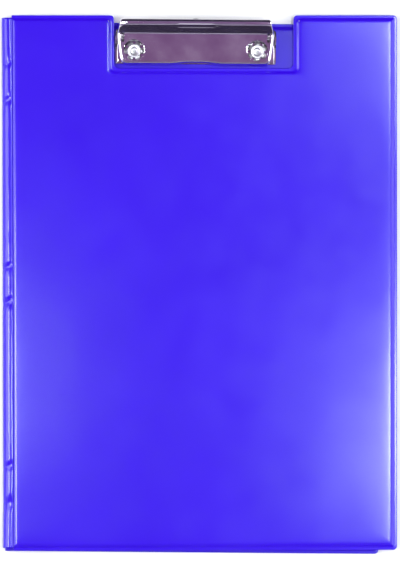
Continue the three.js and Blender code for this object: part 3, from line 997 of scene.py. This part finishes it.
# %% Bridges over the eye
BRIDGE_HALF = 9.6
BRIDGE_WALL = 0.35
BRIDGE_RISE = 0.5
BRIDGE_STEPS = 24
for name, front, rear in (("front", -3.4, -0.8), ("rear", 5.4, 8.6)):
    vertices = []
    for k in range(BRIDGE_STEPS + 1):
        x = BRIDGE_HALF * (2 * k / BRIDGE_STEPS - 1)
        z = BASE_TOP + BRIDGE_WALL + BRIDGE_RISE * (1 - ease(abs(x), 6.8, 8.4))
        vertices += [(x + CLIP[0], y + CLIP[1], z) for y in (front, rear)]
    faces = [(2 * k, 2 * k + 2, 2 * k + 3, 2 * k + 1) for k in range(BRIDGE_STEPS)]
    bridge = make_piece("eye_bridge_" + name, vertices, faces, chrome, thickness=BRIDGE_WALL)
    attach(bridge, "back")

# %% [markdown]
# ## Turned parts
#
# Rivets and the hinge rod are round, so each is one profile spun about its axis. The rivets are hollow:
# the barrel comes up through the base plate and its end is rolled outwards into a fat round collar, with a
# cupped hole in the middle that catches a curl of light.


# %% Lathe
def turned_part(name, profile, axis, centre, finish, sides=56):
    """A profile of (radius, distance along the axis) spun round it. The profile closes on itself."""
    vertices = []
    for k in range(sides):
        c, s = math.cos(2 * math.pi * k / sides), math.sin(2 * math.pi * k / sides)
        for r, a in profile:
            local = (a, r * c, r * s) if axis == "x" else (r * c, r * s, a)
            vertices.append(tuple(p + q for p, q in zip(centre, local)))
    n = len(profile)
    faces = []
    for k in range(sides):
        for j in range(n):
            a, b = k * n + j, k * n + (j + 1) % n
            c, d = (k + 1) % sides * n + (j + 1) % n, (k + 1) % sides * n + j
            faces.append((a, b, c, d))
    made = make_piece(name, vertices, faces, finish)
    work = bmesh.new()
    work.from_mesh(made.data)
    bmesh.ops.remove_doubles(work, verts=work.verts, dist=1e-7)
    bmesh.ops.dissolve_degenerate(work, edges=work.edges, dist=1e-8)
    bmesh.ops.recalc_face_normals(work, faces=work.faces)
    work.to_mesh(made.data)
    work.free()
    made.data.set_sharp_from_angle(angle=math.radians(45))
    return made


# %% Rivets
# Each profile is a chain of (radius, height) points: the head under the back, the collar and the cup.
COLLAR_SEAT = BASE_TOP + 0.55
HEAD = [(1.05, 0.05), (4.3, 0.05), (4.6, 0.2), (4.7, 0.4), (4.55, 0.62), (2.3, 0.65)]
HEAD += [(2.3, COLLAR_SEAT + 0.02)]
COLLAR_TURNS = [math.pi * (-0.5 + k / 10) for k in range(11)]
COLLAR = [(3.75 + 0.75 * math.cos(t), COLLAR_SEAT + 0.62 + 0.6 * math.sin(t)) for t in COLLAR_TURNS]
CUP_STEPS = ((2.7, 1.0), (2.2, 0.8), (2.0, 0.4), (1.95, -3.0), (1.15, -3.1))
CUP = [(radius, COLLAR_SEAT + up) for radius, up in CUP_STEPS]
for (x, y), name in zip(rivet_places, ("left", "right")):
    rivet = turned_part("rivet_eyelet_" + name, HEAD + COLLAR + CUP, "z", (x, y, 0), rivet_nickel)
    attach(rivet, "back")
    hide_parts("rivet_" + name)

# %% Hinge rod
# The rod's left half as (radius, distance from its middle); the right half mirrors it.
ROD = [(0, -51.1), (1.2, -51.1), (1.8, -50.95), (2.15, -50.7), (2.2, -50.56), (1.5, -50.5)]
rod_profile = ROD + [(r, -a) for r, a in reversed(ROD)]
pivot_rod = turned_part("pivot_rod", rod_profile, "x", (CLIP[0], CLIP[1], PIVOT_Z), spring_steel, 32)
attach(pivot_rod, "back")
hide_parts("hinge_rod")

# %% [markdown]
# ## Star washers, by Geometry Nodes
#
# Under each collar sits a star of six sprung petals. One petal is a small grid bent by a formula: wide at
# the root, round at the tip, domed across and falling outwards. Points stand for the petals, a turn of a
# sixth for each, and the tree copies the petal onto them. Changing a number remakes the star.


# %% Tree helpers
def new_tree(name, sizes):
    """An empty Geometry Nodes tree with named inputs for its sizes."""
    tree = bpy.data.node_groups.new(name, "GeometryNodeTree")
    tree.interface.new_socket("Geometry", in_out="OUTPUT", socket_type="NodeSocketGeometry")
    for label, value in sizes.items():
        kind = {int: "NodeSocketInt", float: "NodeSocketFloat", tuple: "NodeSocketVector"}[type(value)]
        tree.interface.new_socket(label, in_out="INPUT", socket_type=kind).default_value = value
    return tree, tree.nodes.new("NodeGroupInput").outputs


def add(tree, kind, links=(), **settings):
    """A node with its settings, and sockets linked or set as (socket, value) pairs."""
    node = tree.nodes.new(kind)
    for key, value in settings.items():
        setattr(node, key, value)
    for socket, value in links:
        if isinstance(value, bpy.types.NodeSocket):
            tree.links.new(value, node.inputs[socket])
        else:
            node.inputs[socket].default_value = value
    return node


def maths(tree, operation, *values):
    """One arithmetic step on numbers or sockets."""
    return add(tree, "ShaderNodeMath", list(enumerate(values)), operation=operation).outputs[0]


def finish_tree(tree, geometry, finish):
    """Realize the copies, give them their finish and send them out."""
    real = add(tree, "GeometryNodeRealizeInstances", [("Geometry", geometry)])
    painted = add(tree, "GeometryNodeSetMaterial", [("Geometry", real.outputs[0]), ("Material", finish)])
    add(tree, "NodeGroupOutput", [(0, painted.outputs[0])])


def grow(name, tree, sizes, finish):
    """Run a tree with these sizes and keep the result as a plain mesh piece."""
    seed = bpy.data.objects.new(name, bpy.data.meshes.new(name + "_seed"))
    bpy.context.scene.collection.objects.link(seed)
    modifier = seed.modifiers.new("grow", "NODES")
    modifier.node_group = tree
    for item in tree.interface.items_tree:
        if item.in_out == "INPUT" and item.name in sizes:
            modifier[item.identifier] = sizes[item.name]
    bpy.context.view_layer.update()
    evaluated = seed.evaluated_get(bpy.context.evaluated_depsgraph_get())
    data = bpy.data.meshes.new_from_object(evaluated)
    seed.modifiers.remove(modifier)
    seed.data = data
    data.name = name
    data.materials.clear()
    data.materials.append(finish)
    data.shade_smooth()
    print(name, len(data.vertices), "points", len(data.polygons), "faces")
    return seed


# %% Petal star
STAR_SIZES = {  # metres and radians
    "Petals": 6,
    "Root": 0.0038,
    "Tip": 0.0063,
    "Half width": 0.0019,
    "Dome": 0.0007,
    "Turn": 0.0,
    "Place": (0.0, 0.0, 0.0),
}
star, size = new_tree("petal_star", STAR_SIZES)
blank = add(
    star,
    "GeometryNodeMeshGrid",
    [("Size X", 1.0), ("Size Y", 1.0), ("Vertices X", 10), ("Vertices Y", 9)],
)
spot = add(star, "ShaderNodeSeparateXYZ", [(0, add(star, "GeometryNodeInputPosition").outputs[0])])
along = maths(star, "ADD", spot.outputs["X"], 0.5)
across = maths(star, "MULTIPLY", spot.outputs["Y"], 2.0)
along_4 = maths(star, "POWER", along, 4.0)
round_tip = maths(star, "POWER", maths(star, "SUBTRACT", 1.02, along_4), 0.5)
half_width = maths(star, "MULTIPLY", size["Half width"], round_tip)
length = maths(star, "SUBTRACT", size["Tip"], size["Root"])
radius = maths(star, "MULTIPLY_ADD", along, length, size["Root"])
sideways = maths(star, "MULTIPLY", across, half_width)
across_2 = maths(star, "POWER", maths(star, "ABSOLUTE", across), 2.0)
crown = maths(star, "SUBTRACT", 1.0, maths(star, "MULTIPLY", across_2, 0.55))
along_2 = maths(star, "POWER", along, 2.0)
fall = maths(star, "SUBTRACT", 1.0, maths(star, "MULTIPLY", along_2, 0.75))
height = maths(star, "MULTIPLY", size["Dome"], maths(star, "MULTIPLY", crown, fall))
shaped = add(star, "ShaderNodeCombineXYZ", [("X", radius), ("Y", sideways), ("Z", height)])
petal = add(
    star,
    "GeometryNodeSetPosition",
    [("Geometry", blank.outputs["Mesh"]), ("Position", shaped.outputs[0])],
)
marks = add(star, "GeometryNodePoints", [("Count", size["Petals"])])
step = maths(star, "DIVIDE", 2 * math.pi, size["Petals"])
number = add(star, "GeometryNodeInputIndex").outputs[0]
spin = add(star, "ShaderNodeCombineXYZ", [("Z", maths(star, "MULTIPLY_ADD", number, step, size["Turn"]))])
copies = add(
    star,
    "GeometryNodeInstanceOnPoints",
    [("Points", marks.outputs[0]), ("Instance", petal.outputs[0]), ("Rotation", spin.outputs[0])],
)
placed = add(
    star,
    "GeometryNodeTransform",
    [("Geometry", copies.outputs[0]), ("Translation", size["Place"])],
)
finish_tree(star, placed.outputs[0], rivet_nickel)
print("petal star tree of", len(star.nodes), "nodes")

# %% Star washers
PETAL_WALL = 0.35
PETAL_SEAT = BASE_TOP + 0.42
for (x, y), name, turn in zip(rivet_places, ("left", "right"), (0.0, 0.5)):
    sizes = {"Turn": turn, "Place": (x * MM, y * MM, PETAL_SEAT * MM)}
    petals = grow("rivet_petals_" + name, star, sizes, rivet_nickel)
    wall = petals.modifiers.new("wall", "SOLIDIFY")
    wall.thickness = PETAL_WALL * MM
    wall.offset = -1
    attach(petals, "back")
    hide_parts("rivet_washer_" + name)

# %% [markdown]
# ## Springs, by Geometry Nodes
#
# Two torsion springs sit on the rod under the lever. Each is a helix with a straight tail along the base
# plate. The coil's axis is the pivot, so the short upper arm is a piece of its own that rides on the jaw:
# it turns about the coil as the lever is pressed and never leaves it.

# %% Torsion spring tree
SPRING_SIZES = {  # metres
    "Turns": 4.5,
    "Coil radius": 0.00255,
    "Length": 0.00675,
    "Wire radius": 0.00065,
    "Tail": 0.009,
    "Place": (0.0, 0.0, 0.0),
}
coil_tree, size = new_tree("torsion_spring", SPRING_SIZES)
helix = add(
    coil_tree,
    "GeometryNodeCurveSpiral",
    [
        ("Resolution", 28),
        ("Rotations", size["Turns"]),
        ("Start Radius", size["Coil radius"]),
        ("End Radius", size["Coil radius"]),
        ("Height", size["Length"]),
        ("Reverse", True),
    ],
)
laid = add(
    coil_tree,
    "GeometryNodeTransform",
    [("Geometry", helix.outputs[0]), ("Rotation", (0, math.pi / 2, 0))],
)
drop = maths(coil_tree, "MULTIPLY", size["Coil radius"], -1.0)
tail_start = add(coil_tree, "ShaderNodeCombineXYZ", [("Z", drop)])
tail_end = add(coil_tree, "ShaderNodeCombineXYZ", [("Y", size["Tail"]), ("Z", drop)])
tail = add(
    coil_tree,
    "GeometryNodeCurvePrimitiveLine",
    [("Start", tail_start.outputs[0]), ("End", tail_end.outputs[0])],
)
wire = add(coil_tree, "GeometryNodeJoinGeometry")
coil_tree.links.new(tail.outputs[0], wire.inputs[0])
coil_tree.links.new(laid.outputs[0], wire.inputs[0])
section = add(
    coil_tree,
    "GeometryNodeCurvePrimitiveCircle",
    [("Resolution", 12), ("Radius", size["Wire radius"])],
)
drawn = add(
    coil_tree,
    "GeometryNodeCurveToMesh",
    [("Curve", wire.outputs[0]), ("Profile Curve", section.outputs[0]), ("Fill Caps", True)],
)
sat = add(
    coil_tree,
    "GeometryNodeTransform",
    [("Geometry", drawn.outputs[0]), ("Translation", size["Place"])],
)
finish_tree(coil_tree, sat.outputs[0], spring_steel)
print("spring tree of", len(coil_tree.nodes), "nodes")


# %% Springs
def rod_of_wire(name, points, radius, finish, sides=12):
    """A round wire through points that lie in a plane of constant x, with flat ends."""
    vertices = []
    for k, p in enumerate(points):
        along = (points[min(k + 1, len(points) - 1)] - points[max(k - 1, 0)]).normalized()
        up = Vector((0, -along.z, along.y))
        for j in range(sides):
            t = 2 * math.pi * j / sides
            vertices.append(tuple(p + radius * (math.cos(t) * Vector((1, 0, 0)) + math.sin(t) * up)))
    faces = [f[::-1] for f in lace(len(points), sides)]
    faces += [tuple(range(sides)), tuple(range(len(vertices) - 1, len(vertices) - sides - 1, -1))]
    return make_piece(name, vertices, faces, finish)


SPRING_OUT = 18.0  # from the clip's middle to a coil's inner end
COIL_LENGTH, COIL_RADIUS, ARM_WIRE = 6.75, 2.55, 0.62
ARM_TURNS = (-0.6, -0.3, 0.0)  # where the arm follows the coil, in radians from its top
ARM_END = [(1.6, 2.5), (3.2, 2.75)]  # (y, z) from the rod's axis, where the arm runs out under the lever
for side, name in ((-1, "left"), (1, "right")):
    middle = Vector((CLIP[0] + side * SPRING_OUT, CLIP[1], PIVOT_Z))
    place = {"Place": (SPRING_OUT * MM, 0.0, 0.0)}
    spring = grow("spring_coil_" + name, coil_tree, place, spring_steel)
    if side < 0:
        spring.data.transform(Matrix.Scale(-1, 4, (1, 0, 0)))
        spring.data.flip_normals()
    spring.data.transform(Matrix.Translation(Vector((CLIP[0], CLIP[1], PIVOT_Z)) * MM))
    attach(spring, "back")
    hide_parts("torsion_spring_" + name)
    reach = side * COIL_LENGTH
    path = [(COIL_RADIUS * math.sin(t), COIL_RADIUS * math.cos(t)) for t in ARM_TURNS]
    points = [middle + Vector((reach, y, z)) for y, z in path + ARM_END]
    arm = rod_of_wire("spring_arm_" + name, points, ARM_WIRE, spring_steel)
    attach(arm, "jaw")

# %% [markdown]
# ## The pocket
#
# Inside the cover a plain sheet of the same vinyl is welded on at the sides and the bottom to hold papers.
# Its upper edge has a round thumb cut. The sheet builder makes it too, with a flatter profile and a thinner
# wall.

# %% Pocket
POCKET_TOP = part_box("cover_pocket")[1][2] / MM
POCKET_WALL = 0.1
WELD_DIP = 0.02  # from the top of the frame's pocket down to the plane that this sheet is drawn from


def pocket_corners(inset):
    """Corners of the pocket, with the thumb cut in the middle of its upper edge."""
    left, right, low, high = -106 + inset, 113 - inset, -158 + inset, 8 - inset
    thumb = 14.0 + inset
    turns = [math.pi * k / 12 for k in range(12, -1, -1)]
    scoop = [(-thumb * math.cos(t), high - thumb * math.sin(t), 0.2) for t in turns]
    square = [(left, low, 3.0), (right, low, 3.0), (right, high, 3.0)] + scoop + [(left, high, 3.0)]
    return [(*askew(x, y), r) for x, y, r in square]


pocket_edge = [(0.0, 0.0), (1.2, 0.02), (2.2, 0.08), (3.2, 0.1), (5.0, 0.1)]
pocket_level = POCKET_TOP - WELD_DIP
pocket_sheet = sheet("pocket_sheet", pocket_corners, pocket_edge, -1, pocket_level, lining_vinyl, ())
pocket_sheet.modifiers["wall"].thickness = POCKET_WALL * MM
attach(pocket_sheet, "cover")
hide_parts("cover_pocket")

# %% [markdown]
# ## Parts kept from the frame
#
# The two boards and the hanging eye have their true shape in the frame, so they only need their finish.

# %% Finish the frame's own nodes
# The eye's near black finish is painted shade from under the lever; the boards' grey is their own colour.
KEPT = {"back_board": board_grey, "cover_board": board_grey, "hanging_eye": eye_steel_painted_shade}
for node, finish in KEPT.items():
    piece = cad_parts[node]
    piece.data.materials.clear()
    piece.data.materials.append(finish)
print("kept", ", ".join(KEPT))
